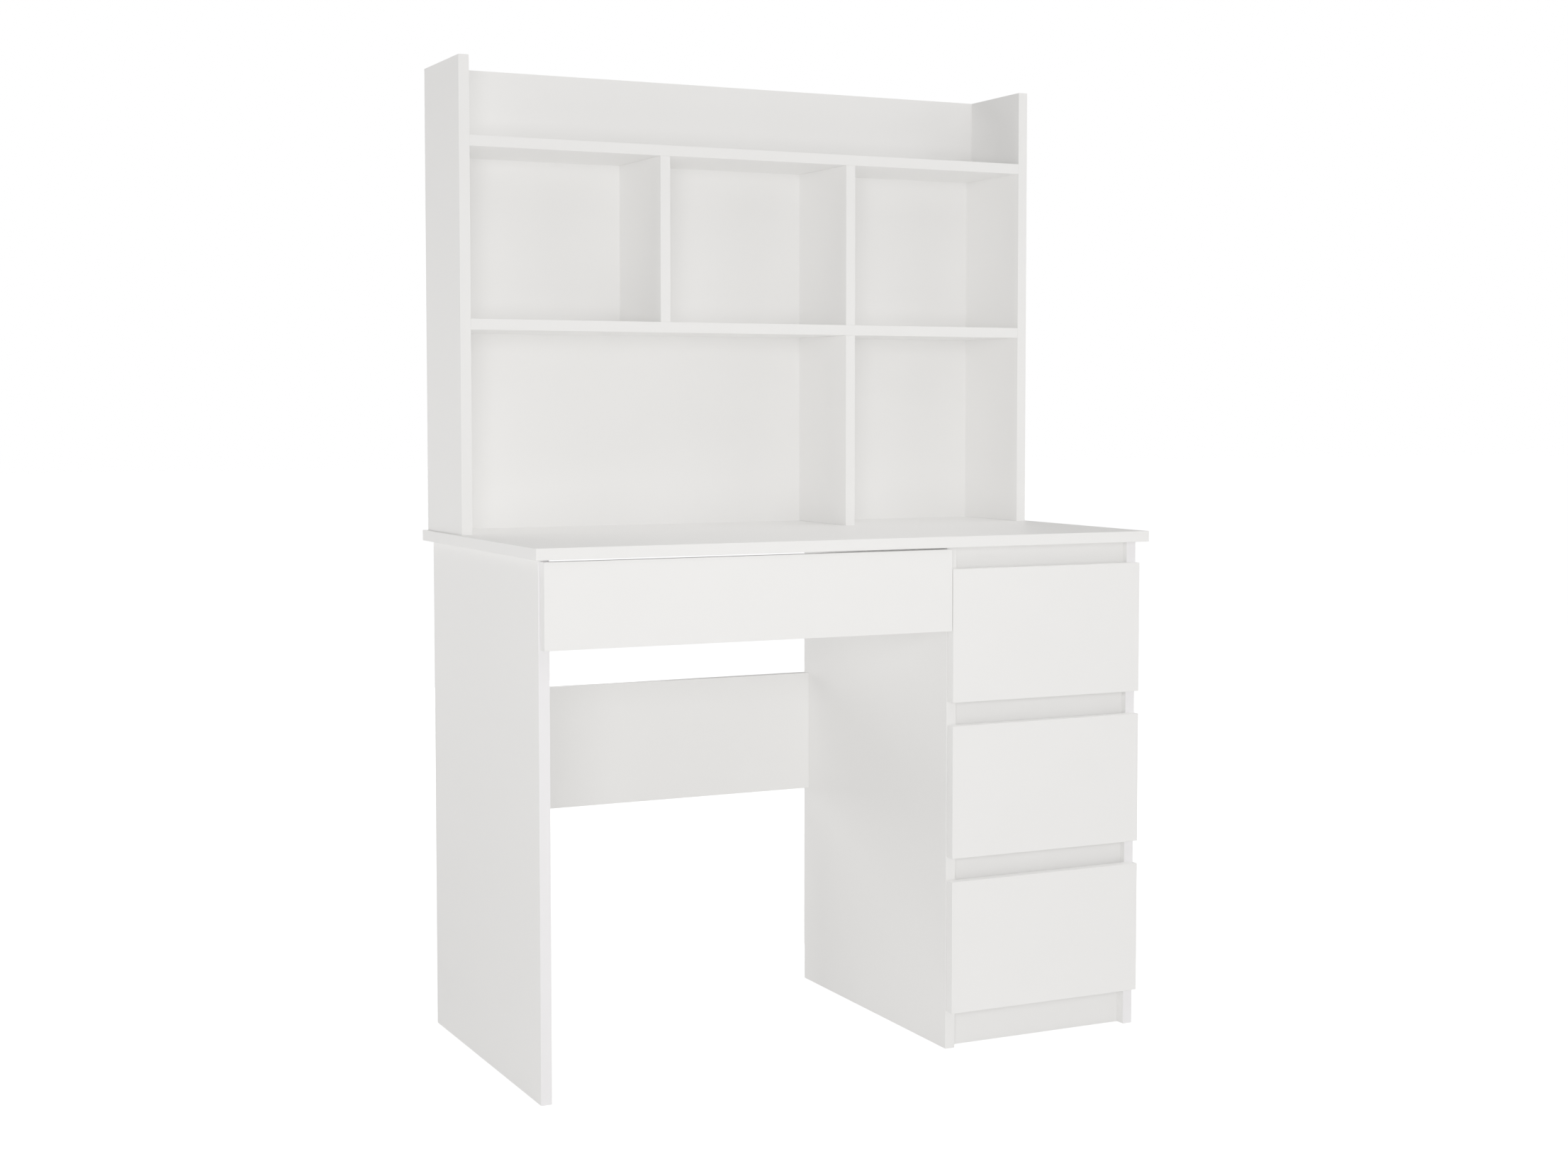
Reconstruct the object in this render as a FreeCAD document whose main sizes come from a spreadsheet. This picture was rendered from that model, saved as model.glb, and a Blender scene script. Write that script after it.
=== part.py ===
import FreeCAD, Part
import os
import Sketcher

# Student desk with a three-drawer pedestal, one wide drawer and an open hutch, in millimetres.
# The origin is on the floor under the middle of the desktop: +X right, +Y back, +Z up.

document = FreeCAD.newDocument("student_desk")
dims = document.addObject("Spreadsheet::Sheet", "dims")

DRIVING_DIMENSIONS = {
    # Sheet goods.
    "board": 16,
    "drawer_board": 16,
    "back_board": 3,
    "back_margin": 1,
    # Desk carcass.
    "desk_depth": 510,
    "panel_inset": 10,
    "panel_setback": 21,
    "rear_overhang": 23,
    "knee_width": 614,
    "pedestal_width": 298,
    "modesty_base": 320,
    "modesty_height": 190,
    "plinth_height": 56,
    "plinth_recess": 16,
    "rail_height": 60,
    "rail_recess": 10,
    # Drawer fronts: the panels' height follows from the stack of pedestal fronts and gaps.
    "front_height": 195,
    "finger_gap": 34.5,
    "top_gap": 32,
    "wide_front_height": 119,
    "wide_front_gap": 3,
    "front_gap": 1,
    "wide_reveal": 2.5,
    "pedestal_reveal": 4,
    "split_reveal": 1,
    # Drawer boxes.
    "runner_space": 12.5,
    "pedestal_side_lift": 28,
    "pedestal_side_drop": 47,
    "wide_side_lift": 12,
    "wide_side_drop": 43,
    "groove_lift": 8,
    "groove_depth": 5,
    "groove_slack": 0.4,
    "base_play": 0.5,
    # Roller runners.
    "runner_setback": 3,
    "runner_rear_space": 63,
    "sheet_metal": 1.2,
    "track_width": 10,
    "hook_width": 7,
    "tip_gap": 2.8,
    "flange_rise": 21.8,
    "flange_play": 1.8,
    "roller_radius": 11.5,
    "roller_width": 7,
    "roller_side_gap": 2,
    "roller_gap": 0.3,
    "rear_roller_rise": 5,
    "front_roller_setback": 18,
    "rear_roller_inset": 14,
    "rivet_radius": 2.5,
    "rivet_play": 0.1,
    "rivet_head_radius": 4.5,
    "rivet_head": 1.2,
    "recess_radius": 5.5,
    "recess_depth": 1.6,
    # Hutch.
    "hutch_inset": 8,
    "hutch_depth": 166,
    "lower_cell": 300,
    "upper_cell": 250,
    "gallery_height": 115,
}

for row, (alias, size) in enumerate(DRIVING_DIMENSIONS.items(), start=1):
    dims.set(f"A{row}", alias)
    dims.set(f"B{row}", str(size))
    dims.setAlias(f"B{row}", alias)
document.recompute()

# Places and sizes that follow from the driving dimensions.
DESK_WIDTH = "(2 * dims.panel_inset + 3 * dims.board + dims.knee_width + dims.pedestal_width)"
PANEL_HEIGHT = "(dims.plinth_height + 3 * dims.front_height + 2 * dims.finger_gap + dims.top_gap)"
PANEL_DEPTH = "(dims.desk_depth - dims.panel_setback - dims.rear_overhang)"

DESK_LEFT = f"(-{DESK_WIDTH} / 2)"
DESK_FRONT = "(-dims.desk_depth / 2)"
DESK_TOP = f"({PANEL_HEIGHT} + dims.board)"

LEG_LEFT = f"({DESK_LEFT} + dims.panel_inset)"
KNEE_LEFT = f"({LEG_LEFT} + dims.board)"
CENTRE_LEFT = f"({KNEE_LEFT} + dims.knee_width)"
PEDESTAL_LEFT = f"({CENTRE_LEFT} + dims.board)"
RIGHT_LEFT = f"({PEDESTAL_LEFT} + dims.pedestal_width)"
PANEL_FRONT = f"({DESK_FRONT} + dims.panel_setback)"
PANEL_BACK = f"({PANEL_FRONT} + {PANEL_DEPTH})"

FRONT_BACK = f"({PANEL_FRONT} - dims.front_gap)"
FRONT_FACE = f"({FRONT_BACK} - dims.board)"
LOWER_FRONT_BASE = "dims.plinth_height"
MIDDLE_FRONT_BASE = f"({LOWER_FRONT_BASE} + dims.front_height + dims.finger_gap)"
UPPER_FRONT_BASE = f"({MIDDLE_FRONT_BASE} + dims.front_height + dims.finger_gap)"
WIDE_FRONT_BASE = f"({PANEL_HEIGHT} - dims.wide_front_gap - dims.wide_front_height)"
WIDE_FRONT_LEFT = f"({LEG_LEFT} + dims.wide_reveal)"
WIDE_FRONT_WIDTH = f"({CENTRE_LEFT} - dims.split_reveal - {WIDE_FRONT_LEFT})"
PEDESTAL_FRONT_LEFT = f"({CENTRE_LEFT} + dims.split_reveal)"
PEDESTAL_FRONT_WIDTH = f"({RIGHT_LEFT} + dims.board - dims.pedestal_reveal - {PEDESTAL_FRONT_LEFT})"
RAIL_LAP = "((dims.rail_height - dims.finger_gap) / 2)"

RUNNER_LENGTH = f"({PANEL_DEPTH} - dims.runner_setback - dims.runner_rear_space)"
RUNNER_FRONT = f"({PANEL_FRONT} + dims.runner_setback)"
GROOVE_WIDTH = "(dims.back_board + dims.groove_slack)"
TONGUE = "(dims.groove_depth - dims.base_play)"

# Heights of the runner's tracks and rollers, counted up from the lower edge of the drawer side.
TRACK_TOP = "(dims.rear_roller_rise - dims.roller_radius - dims.roller_gap)"
FRONT_ROLLER_RISE = "(dims.flange_rise - dims.roller_gap - dims.roller_radius)"
HOOK_RISE = "(dims.flange_rise + dims.sheet_metal + dims.tip_gap)"
FLANGE_WIDTH = "(dims.runner_space - 2 * dims.sheet_metal - dims.flange_play)"
BORE_RADIUS = "(dims.rivet_radius + dims.rivet_play)"

HUTCH_WIDTH = f"({DESK_WIDTH} - 2 * dims.hutch_inset)"
HUTCH_LEFT = f"({DESK_LEFT} + dims.hutch_inset)"
HUTCH_BACK = "(dims.desk_depth / 2 - dims.back_board)"
HUTCH_FRONT = f"({HUTCH_BACK} - dims.hutch_depth)"
HUTCH_HEIGHT = "(dims.lower_cell + dims.upper_cell + dims.gallery_height + 2 * dims.board)"
SHELF_WIDTH = f"({HUTCH_WIDTH} - 2 * dims.board)"
SHELF_LEFT = f"({HUTCH_LEFT} + dims.board)"
CELL_WIDTH = f"(({SHELF_WIDTH} - 2 * dims.board) / 3)"
LEFT_DIVIDER = f"({SHELF_LEFT} + {CELL_WIDTH})"
RIGHT_DIVIDER = f"({LEFT_DIVIDER} + dims.board + {CELL_WIDTH})"
MIDDLE_SHELF_BASE = f"({DESK_TOP} + dims.lower_cell)"
UPPER_CELL_BASE = f"({MIDDLE_SHELF_BASE} + dims.board)"
TOP_SHELF_BASE = f"({UPPER_CELL_BASE} + dims.upper_cell)"
GALLERY_BASE = f"({TOP_SHELF_BASE} + dims.board)"

# A pad on the XZ plane grows towards -Y unless it is turned round.
TURNED_PLANE = "XZ_Plane"

nodes = {}


def new_body(label, place, half_turn=False):
    """An empty body with its origin bound to three formulas."""
    body = document.addObject("PartDesign::Body", label)
    body.Label = label
    if half_turn:
        body.Placement.Rotation = FreeCAD.Rotation(FreeCAD.Vector(0, 0, 1), 180)
    for axis, formula in zip("xyz", place):
        body.setExpression(f"Placement.Base.{axis}", formula)
    return body


def origin_feature(body, role):
    return next(feature for feature in body.Origin.OriginFeatures if feature.Role == role)


def new_sketch(body, plane, offset=None):
    """A sketch on one of the body's origin planes, moved by formulas along the sketch's own axes."""
    sketch = body.newObject("Sketcher::SketchObject", f"{body.Label}_sketch")
    sketch.AttachmentSupport = [(origin_feature(body, plane), "")]
    sketch.MapMode = "FlatFace"
    for axis, formula in (offset or {}).items():
        sketch.setExpression(f"AttachmentOffset.Base.{axis}", formula)
    return sketch


def bind(sketch, constraint, formula):
    """Add a dimension to a sketch and tie it to a formula."""
    index = sketch.addConstraint(constraint)
    sketch.setExpression(f"Constraints[{index}]", formula)


def walk_outline(sketch, steps):
    """Close an outline of level and upright edges that starts at the sketch's origin.

    Each step is a direction and the formula of its length. The last two steps only close the
    outline, so they carry no length.
    """
    headings = {"right": (1, 0), "left": (-1, 0), "up": (0, 1), "down": (0, -1)}
    start = FreeCAD.Vector(0, 0, 0)
    corner = start
    for edge, (heading, formula) in enumerate(steps):
        across, along = headings[heading]
        length = document.dims.evalExpression(formula) if formula else 0
        if edge == len(steps) - 1:
            target = start
        elif formula:
            target = corner + FreeCAD.Vector(across * length, along * length, 0)
        else:
            target = FreeCAD.Vector(start.x if across else corner.x, start.y if along else corner.y, 0)
        sketch.addGeometry(Part.LineSegment(corner, target), False)
        corner = target
    sketch.addConstraint(Sketcher.Constraint("Coincident", 0, 1, -1, 1))
    for edge, (heading, formula) in enumerate(steps):
        following = (edge + 1) % len(steps)
        sketch.addConstraint(Sketcher.Constraint("Coincident", edge, 2, following, 1))
        level = headings[heading][0] != 0
        sketch.addConstraint(Sketcher.Constraint("Horizontal" if level else "Vertical", edge))
        if formula:
            first, last = (1, 2) if heading in ("right", "up") else (2, 1)
            kind = "DistanceX" if level else "DistanceY"
            length = document.dims.evalExpression(formula)
            bind(sketch, Sketcher.Constraint(kind, edge, first, edge, last, length), formula)


def rectangle(width, height):
    return [("right", width), ("up", height), ("left", None), ("down", None)]


def pad(body, sketch, thickness, plane):
    feature = body.newObject("PartDesign::Pad", f"{body.Label}_pad")
    feature.Profile = sketch
    feature.setExpression("Length", thickness)
    feature.Reversed = plane == TURNED_PLANE
    return feature


def profile_pad(body, plane, steps, thickness, offset=None):
    """Pad an outline of level and upright edges towards +X, +Y or +Z."""
    sketch = new_sketch(body, plane, offset)
    walk_outline(sketch, steps)
    return pad(body, sketch, thickness, plane)


def round_pad(body, centre, radius, base, length):
    """Pad a disc along +X from the distance base, centred at formulas for Y and Z."""
    sketch = new_sketch(body, "YZ_Plane", {"x": centre[0], "y": centre[1], "z": base})
    sketch.addGeometry(Part.Circle(FreeCAD.Vector(0, 0, 0), FreeCAD.Vector(0, 0, 1), 1), False)
    sketch.addConstraint(Sketcher.Constraint("Coincident", 0, 3, -1, 1))
    value = document.dims.evalExpression(radius)
    bind(sketch, Sketcher.Constraint("Radius", 0, value), radius)
    return pad(body, sketch, length, "YZ_Plane")


def board(label, plane, width, height, thickness, place):
    """A plain rectangular board, padded from the named plane."""
    body = new_body(label, place)
    profile_pad(body, plane, rectangle(width, height), thickness)
    nodes[label] = body
    return body


def pair(label, source, middle):
    """A left-hand piece and its mirror image across the plane X = middle, as one node."""
    twin = document.addObject("Part::Mirroring", f"{label}_twin")
    twin.Source = source
    twin.Normal = FreeCAD.Vector(1, 0, 0)
    twin.setExpression("Base.x", middle)
    both = document.addObject("Part::Compound", label)
    both.Label = label
    both.Links = [source, twin]
    nodes[label] = both


def build_desk():
    """Desktop, the three upright panels, modesty panel and pedestal carcass."""
    board("desktop", "XY_Plane", DESK_WIDTH, "dims.desk_depth", "dims.board",
          (DESK_LEFT, DESK_FRONT, PANEL_HEIGHT))
    for label, left in (("left_leg_panel", LEG_LEFT), ("centre_panel", CENTRE_LEFT),
                        ("right_side_panel", RIGHT_LEFT)):
        board(label, "YZ_Plane", PANEL_DEPTH, PANEL_HEIGHT, "dims.board", (left, PANEL_FRONT, "0"))
    board("modesty_panel", "XZ_Plane", "dims.knee_width", "dims.modesty_height", "dims.board",
          (KNEE_LEFT, f"{PANEL_BACK} - dims.board", "dims.modesty_base"))
    plinth_front = f"{PANEL_FRONT} + dims.plinth_recess"
    board("plinth", "XZ_Plane", "dims.pedestal_width", "dims.plinth_height", "dims.board",
          (PEDESTAL_LEFT, plinth_front, "0"))
    board("pedestal_bottom", "XY_Plane", "dims.pedestal_width", f"{PANEL_DEPTH} - dims.plinth_recess",
          "dims.board", (PEDESTAL_LEFT, plinth_front, "dims.plinth_height"))
    rail_bases = {
        "pedestal_top_rail": f"{PANEL_HEIGHT} - dims.rail_height",
        "pedestal_upper_rail": f"{UPPER_FRONT_BASE} - dims.finger_gap - {RAIL_LAP}",
        "pedestal_lower_rail": f"{MIDDLE_FRONT_BASE} - dims.finger_gap - {RAIL_LAP}",
    }
    for label, base in rail_bases.items():
        board(label, "XZ_Plane", "dims.pedestal_width", "dims.rail_height", "dims.board",
              (PEDESTAL_LEFT, f"{PANEL_FRONT} + dims.rail_recess", base))
    board("pedestal_back", "XZ_Plane", "dims.pedestal_width + 2 * dims.board - 2 * dims.back_margin",
          f"{PANEL_HEIGHT} - dims.plinth_height - dims.back_margin", "dims.back_board",
          (f"{CENTRE_LEFT} + dims.back_margin", PANEL_BACK, "dims.plinth_height"))


def build_hutch():
    """Hutch sides, shelves, dividers, gallery board and thin back, standing on the desktop."""
    for label, left in (("hutch_left_side", HUTCH_LEFT),
                        ("hutch_right_side", f"{HUTCH_LEFT} + {HUTCH_WIDTH} - dims.board")):
        board(label, "YZ_Plane", "dims.hutch_depth", HUTCH_HEIGHT, "dims.board", (left, HUTCH_FRONT, DESK_TOP))
    for label, base in (("hutch_middle_shelf", MIDDLE_SHELF_BASE), ("hutch_top_shelf", TOP_SHELF_BASE)):
        board(label, "XY_Plane", SHELF_WIDTH, "dims.hutch_depth", "dims.board", (SHELF_LEFT, HUTCH_FRONT, base))
    for label, left in (("hutch_upper_left_divider", LEFT_DIVIDER), ("hutch_upper_right_divider", RIGHT_DIVIDER)):
        board(label, "YZ_Plane", "dims.hutch_depth", "dims.upper_cell", "dims.board",
              (left, HUTCH_FRONT, UPPER_CELL_BASE))
    board("hutch_lower_divider", "YZ_Plane", "dims.hutch_depth", "dims.lower_cell", "dims.board",
          (RIGHT_DIVIDER, HUTCH_FRONT, DESK_TOP))
    board("hutch_gallery_board", "XZ_Plane", SHELF_WIDTH, "dims.gallery_height", "dims.board",
          (SHELF_LEFT, f"{HUTCH_BACK} - dims.board", GALLERY_BASE))
    board("hutch_back", "XZ_Plane", f"{HUTCH_WIDTH} - 2 * dims.back_margin",
          f"{GALLERY_BASE} - {DESK_TOP} - dims.back_margin", "dims.back_board",
          (f"{HUTCH_LEFT} + dims.back_margin", HUTCH_BACK, DESK_TOP))


def build_drawer_box(name, drawer):
    """Front, grooved sides, back and thin base of one drawer."""
    box_left = f"({drawer['wall']} + dims.runner_space)"
    box_width = f"({drawer['clear_width']} - 2 * dims.runner_space)"
    inner_left = f"({box_left} + dims.drawer_board)"
    inner_width = f"({box_width} - 2 * dims.drawer_board)"
    side_base = f"({drawer['front_base']} + {drawer['side_lift']})"
    side_height = f"({drawer['front_height']} - {drawer['side_lift']} - {drawer['side_drop']})"
    base_height = f"({side_base} + dims.groove_lift)"
    above_groove = f"{side_height} - dims.groove_lift - {GROOVE_WIDTH}"

    front = board(f"{name}_drawer_front", "XZ_Plane", drawer["front_width"], drawer["front_height"], "dims.board",
                  (drawer["front_left"], FRONT_FACE, drawer["front_base"]))
    groove = new_sketch(front, "XZ_Plane", {
        "x": f"{inner_left} - dims.groove_depth - {drawer['front_left']}",
        "y": f"{drawer['side_lift']} + dims.groove_lift",
        "z": "-dims.board",
    })
    walk_outline(groove, rectangle(f"{inner_width} + 2 * dims.groove_depth", GROOVE_WIDTH))
    cut = front.newObject("PartDesign::Pocket", f"{name}_front_groove")
    cut.Profile = groove
    cut.setExpression("Length", "dims.groove_depth")
    cut.Reversed = True

    left_profile = [("right", "dims.drawer_board"), ("up", "dims.groove_lift"), ("left", "dims.groove_depth"),
                    ("up", GROOVE_WIDTH), ("right", "dims.groove_depth"), ("up", above_groove),
                    ("left", None), ("down", None)]
    right_profile = [("up", "dims.groove_lift"), ("right", "dims.groove_depth"), ("up", GROOVE_WIDTH),
                     ("left", "dims.groove_depth"), ("up", above_groove), ("right", "dims.drawer_board"),
                     ("down", None), ("left", None)]
    right_side_left = f"{inner_left} + {inner_width}"
    for label, profile, left in (("left_side", left_profile, box_left),
                                 ("right_side", right_profile, right_side_left)):
        body = new_body(f"{name}_drawer_{label}", (left, FRONT_BACK, side_base))
        profile_pad(body, "XZ_Plane", profile, RUNNER_LENGTH)
        nodes[body.Label] = body

    board(f"{name}_drawer_back", "XZ_Plane", inner_width,
          f"{side_height} - dims.groove_lift - dims.back_board", "dims.drawer_board",
          (inner_left, f"{FRONT_BACK} + {RUNNER_LENGTH} - dims.drawer_board", f"{base_height} + dims.back_board"))
    board(f"{name}_drawer_base", "XY_Plane", f"{inner_width} + 2 * {TONGUE}", f"{RUNNER_LENGTH} + {TONGUE}",
          "dims.back_board", (f"{inner_left} - {TONGUE}", f"{FRONT_BACK} - {TONGUE}", base_height))


def build_roller(label, place, half_turn):
    """A nylon roller on the X axis, with a bore and a recess for the rivet's head at its far end."""
    body = new_body(label, place, half_turn)
    sketch = new_sketch(body, "XZ_Plane", {"y": BORE_RADIUS})
    walk_outline(sketch, [("right", "dims.roller_width - dims.recess_depth"),
                          ("up", f"dims.recess_radius - {BORE_RADIUS}"),
                          ("right", "dims.recess_depth"), ("up", "dims.roller_radius - dims.recess_radius"),
                          ("left", None), ("down", None)])
    turn = body.newObject("PartDesign::Revolution", f"{label}_turn")
    turn.Profile = sketch
    turn.ReferenceAxis = (origin_feature(body, "X_Axis"), [""])
    turn.Angle = 360
    return body


def build_runners(name, drawer):
    """The pressed runner pair on the cabinet walls, the pair under the drawer sides, and their rollers."""
    wall = drawer["wall"]
    middle = f"{wall} + {drawer['clear_width']} / 2"
    side_base = f"({drawer['front_base']} + {drawer['side_lift']})"
    roller_near = f"({wall} + dims.sheet_metal + dims.roller_side_gap)"
    shaft_end = "(dims.roller_width - dims.recess_depth + dims.rivet_play)"

    track_base = f"({TRACK_TOP} - dims.sheet_metal)"
    cabinet = new_body(f"{name}_cabinet_runner", (wall, RUNNER_FRONT, f"{side_base} + {track_base}"))
    profile_pad(cabinet, "XZ_Plane", [
        ("right", "dims.track_width"), ("up", "dims.sheet_metal"), ("left", "dims.track_width - dims.sheet_metal"),
        ("up", f"{HOOK_RISE} - {TRACK_TOP}"), ("right", "dims.hook_width - dims.sheet_metal"),
        ("up", "dims.sheet_metal"), ("left", None), ("down", None)], RUNNER_LENGTH)
    centre = ("dims.front_roller_setback", f"{FRONT_ROLLER_RISE} - {track_base}")
    shaft = f"(dims.roller_side_gap + {shaft_end})"
    round_pad(cabinet, centre, "dims.rivet_radius", "dims.sheet_metal", shaft)
    round_pad(cabinet, centre, "dims.rivet_head_radius", f"dims.sheet_metal + {shaft}", "dims.rivet_head")
    pair(f"{name}_cabinet_runners", cabinet, middle)

    front_roller = build_roller(f"{name}_cabinet_roller", (
        roller_near, f"{RUNNER_FRONT} + dims.front_roller_setback", f"{side_base} + {FRONT_ROLLER_RISE}"), False)
    pair(f"{name}_cabinet_rollers", front_roller, middle)

    web_left = f"({wall} + dims.runner_space - dims.sheet_metal)"
    carried = new_body(f"{name}_drawer_runner", (web_left, FRONT_BACK, f"{side_base} - dims.sheet_metal"))
    profile_pad(carried, "XZ_Plane", [
        ("right", "dims.sheet_metal + dims.drawer_board"), ("up", "dims.sheet_metal"), ("left", "dims.drawer_board"),
        ("up", "dims.flange_rise + dims.sheet_metal"), ("left", f"dims.sheet_metal + {FLANGE_WIDTH}"),
        ("down", "dims.sheet_metal"), ("right", None), ("down", None)], RUNNER_LENGTH)
    centre = (f"{RUNNER_LENGTH} - dims.rear_roller_inset", "dims.rear_roller_rise + dims.sheet_metal")
    near_gap = ("(dims.runner_space - 2 * dims.sheet_metal - dims.roller_side_gap - dims.roller_width)")
    shaft = f"({near_gap} + {shaft_end})"
    round_pad(carried, centre, "dims.rivet_radius", f"-{shaft}", shaft)
    round_pad(carried, centre, "dims.rivet_head_radius", f"-{shaft} - dims.rivet_head", "dims.rivet_head")
    pair(f"{name}_drawer_runners", carried, middle)

    rear_roller = build_roller(f"{name}_drawer_roller", (
        f"{roller_near} + dims.roller_width",
        f"{FRONT_BACK} + {RUNNER_LENGTH} - dims.rear_roller_inset",
        f"{side_base} + dims.rear_roller_rise"), True)
    pair(f"{name}_drawer_rollers", rear_roller, middle)


def build_drawers():
    """The wide drawer over the knee space and the three pedestal drawers."""
    drawers = {
        "wide": {"wall": KNEE_LEFT, "clear_width": "dims.knee_width", "front_base": WIDE_FRONT_BASE,
                 "front_left": WIDE_FRONT_LEFT, "front_width": WIDE_FRONT_WIDTH,
                 "front_height": "dims.wide_front_height", "side_lift": "dims.wide_side_lift",
                 "side_drop": "dims.wide_side_drop"},
    }
    for name, front_base in (("upper", UPPER_FRONT_BASE), ("middle", MIDDLE_FRONT_BASE),
                             ("lower", LOWER_FRONT_BASE)):
        drawers[name] = {"wall": PEDESTAL_LEFT, "clear_width": "dims.pedestal_width", "front_base": front_base,
                         "front_left": PEDESTAL_FRONT_LEFT, "front_width": PEDESTAL_FRONT_WIDTH,
                         "front_height": "dims.front_height", "side_lift": "dims.pedestal_side_lift",
                         "side_drop": "dims.pedestal_side_drop"}
    for name, drawer in drawers.items():
        build_drawer_box(name, drawer)
        build_runners(name, drawer)


def check_document():
    """Stop if any feature failed or any node has no sound shape."""
    for item in document.Objects:
        if {"Invalid", "Error"} & set(item.State):
            raise RuntimeError(f"{item.Label}: {item.State}")
    for label, node in nodes.items():
        if node.Shape.isNull() or not node.Shape.isValid():
            raise RuntimeError(f"{label}: no sound shape")


def write_parts():
    os.makedirs("parts", exist_ok=True)
    for label, node in nodes.items():
        node.Shape.exportStep(f"parts/{label}.step")


build_desk()
build_hutch()
build_drawers()
document.recompute()
check_document()
write_parts()
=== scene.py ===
"""Finishes, fittings and studio for a white student desk with drawers and an open hutch, in metres."""

import math

import bmesh
import bpy
from bpy.props import FloatProperty, FloatVectorProperty, PointerProperty
from mathutils import Matrix, Vector


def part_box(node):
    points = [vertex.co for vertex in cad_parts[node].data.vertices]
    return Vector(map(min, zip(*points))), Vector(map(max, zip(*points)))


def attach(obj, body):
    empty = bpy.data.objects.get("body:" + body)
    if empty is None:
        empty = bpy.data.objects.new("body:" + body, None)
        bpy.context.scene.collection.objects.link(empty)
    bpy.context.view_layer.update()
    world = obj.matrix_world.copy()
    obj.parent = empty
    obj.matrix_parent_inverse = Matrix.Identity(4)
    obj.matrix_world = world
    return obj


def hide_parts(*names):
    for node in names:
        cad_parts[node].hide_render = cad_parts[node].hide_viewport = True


bl_info = {
    "name": "Student Desk With Hutch",
    "version": (1, 0, 0),
    "blender": (4, 5, 0),
    "location": "View3D > Sidebar > Desk",
    "description": "Finishes, fittings and studio for a white student desk with an open hutch",
    "category": "Object",
}

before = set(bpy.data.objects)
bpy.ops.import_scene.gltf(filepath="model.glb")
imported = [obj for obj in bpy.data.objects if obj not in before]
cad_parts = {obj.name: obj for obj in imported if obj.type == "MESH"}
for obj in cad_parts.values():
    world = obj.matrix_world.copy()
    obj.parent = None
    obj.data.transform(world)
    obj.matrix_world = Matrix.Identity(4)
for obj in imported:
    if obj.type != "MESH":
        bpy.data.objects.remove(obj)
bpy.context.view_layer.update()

LEFT = Vector((-1, 0, 0))
RIGHT = Vector((1, 0, 0))
BACK = Vector((0, 1, 0))
DOWN = Vector((0, 0, -1))
UP = Vector((0, 0, 1))

DEEP_DRAWERS = ("upper", "middle", "lower")
DRAWERS = ("wide", *DEEP_DRAWERS)

# The boards that each thin back is pinned to.
PINNED_BOARDS = {
    "hutch_back": ("hutch_left_side", "hutch_right_side", "hutch_top_shelf", "hutch_middle_shelf",
                   "hutch_upper_left_divider", "hutch_upper_right_divider", "hutch_lower_divider"),
    "pedestal_back": ("centre_panel", "right_side_panel", "pedestal_bottom"),
}

# The uprights whose edging is cooler than the rest.
COOL_EDGED = ("left_leg_panel", "right_side_panel")

# Places of the fasteners on their boards and runners. A negative distance counts back from the far end.
CAM_ROWS = (0.06, -0.06)
RAIL_CAM_HEIGHT = 0.03
MODESTY_CAM_HEIGHTS = (0.04, -0.04)
GALLERY_CAM_HEIGHT = 0.0575
CAP_ROWS = (0.035, -0.035)
PIN_INSET = 0.02
WALL_SCREW_FROM_FRONT = 0.045
WALL_SCREW_FROM_BACK = 0.035
RUNNER_SCREW_DEPTHS = (0.03, 0.18, -0.05)

# Heights in the drawers' sides. The wide drawer is shallow and has room for one row, the others for two.
DRAWER_CAM_HEIGHTS = {"wide": (-0.028,), **dict.fromkeys(DEEP_DRAWERS, (0.042, -0.03))}
BACK_SCREW_HEIGHTS = {"wide": (-0.022,), **dict.fromkeys(DEEP_DRAWERS, (0.045, -0.03))}

# Thickness of the steel that the runners are pressed from.
RUNNER_SHEET = 0.0012

# Outlines of a round head and a cap above the surface, as shares of the radius and the height.
HEAD_OUTLINE = ((1.0, 0.55), (0.93, 0.85), (0.8, 1.0))
CAP_OUTLINE = ((1.0, 0.35), (0.96, 0.55), (0.85, 0.8), (0.6, 0.95), (0.0, 1.0))
SEAT_DEPTH = 0.0002

# The cross recess of a head, as shares of the head's radius and height, and how it narrows to its floor.
CROSS_ARM = 0.5
CROSS_WIDTH = 0.2
CROSS_DEPTH = 0.75
CROSS_TAPER = 0.8

# Outlines of a pin and of the pit round its head, as shares of the pin's radius and the pit's depth.
PIN_OUTLINE = ((0.0, -1.2), (1.0, -1.2), (1.0, -0.6), (0.7, -0.3), (0.0, -0.2))
PIT_OUTLINE = ((0.0, -1.0), (1.0, -1.0), (1.5, 0.25), (0.0, 0.25))
PIT_DEPTH = 0.0006

CAM_SIDES = 28
CAP_SIDES = 32
CONNECTOR_SIDES = 24
SCREW_SIDES = 20
PIN_SIDES = 16

# Like fasteners are turned by this angle from one to the next.
FASTENER_TURN = math.radians(137.5)

# Corners closer than this are joined into one, and so are faces that meet at less than this angle.
SAME_CORNER = 0.00002
FLAT_ANGLE = 0.01

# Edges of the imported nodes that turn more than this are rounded, in this many steps.
ROUNDED_ANGLE = math.radians(40)
ROUNDED_STEPS = 2

# Faces of the fasteners that meet at more than this angle keep a crisp edge between them.
CRISP_ANGLE = math.radians(35)

# A face counts as facing a direction where its normal has more than this much of it.
FACING = 0.5

# Noise values mostly lie between these two.
NOISE_LOW = 0.3
NOISE_HIGH = 0.7

# A finish's roughness drifts in blotches that are this share of its colour's blotches.
POLISH_SHARE = 0.25

WHITE = (1.0, 1.0, 1.0, 1.0)
SENSOR_WIDTH = 36.0
FLOOR_HALF_WIDTH = 30.0
FLOOR_CELLS = 8
FLOOR_DROP = 0.0005

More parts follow.
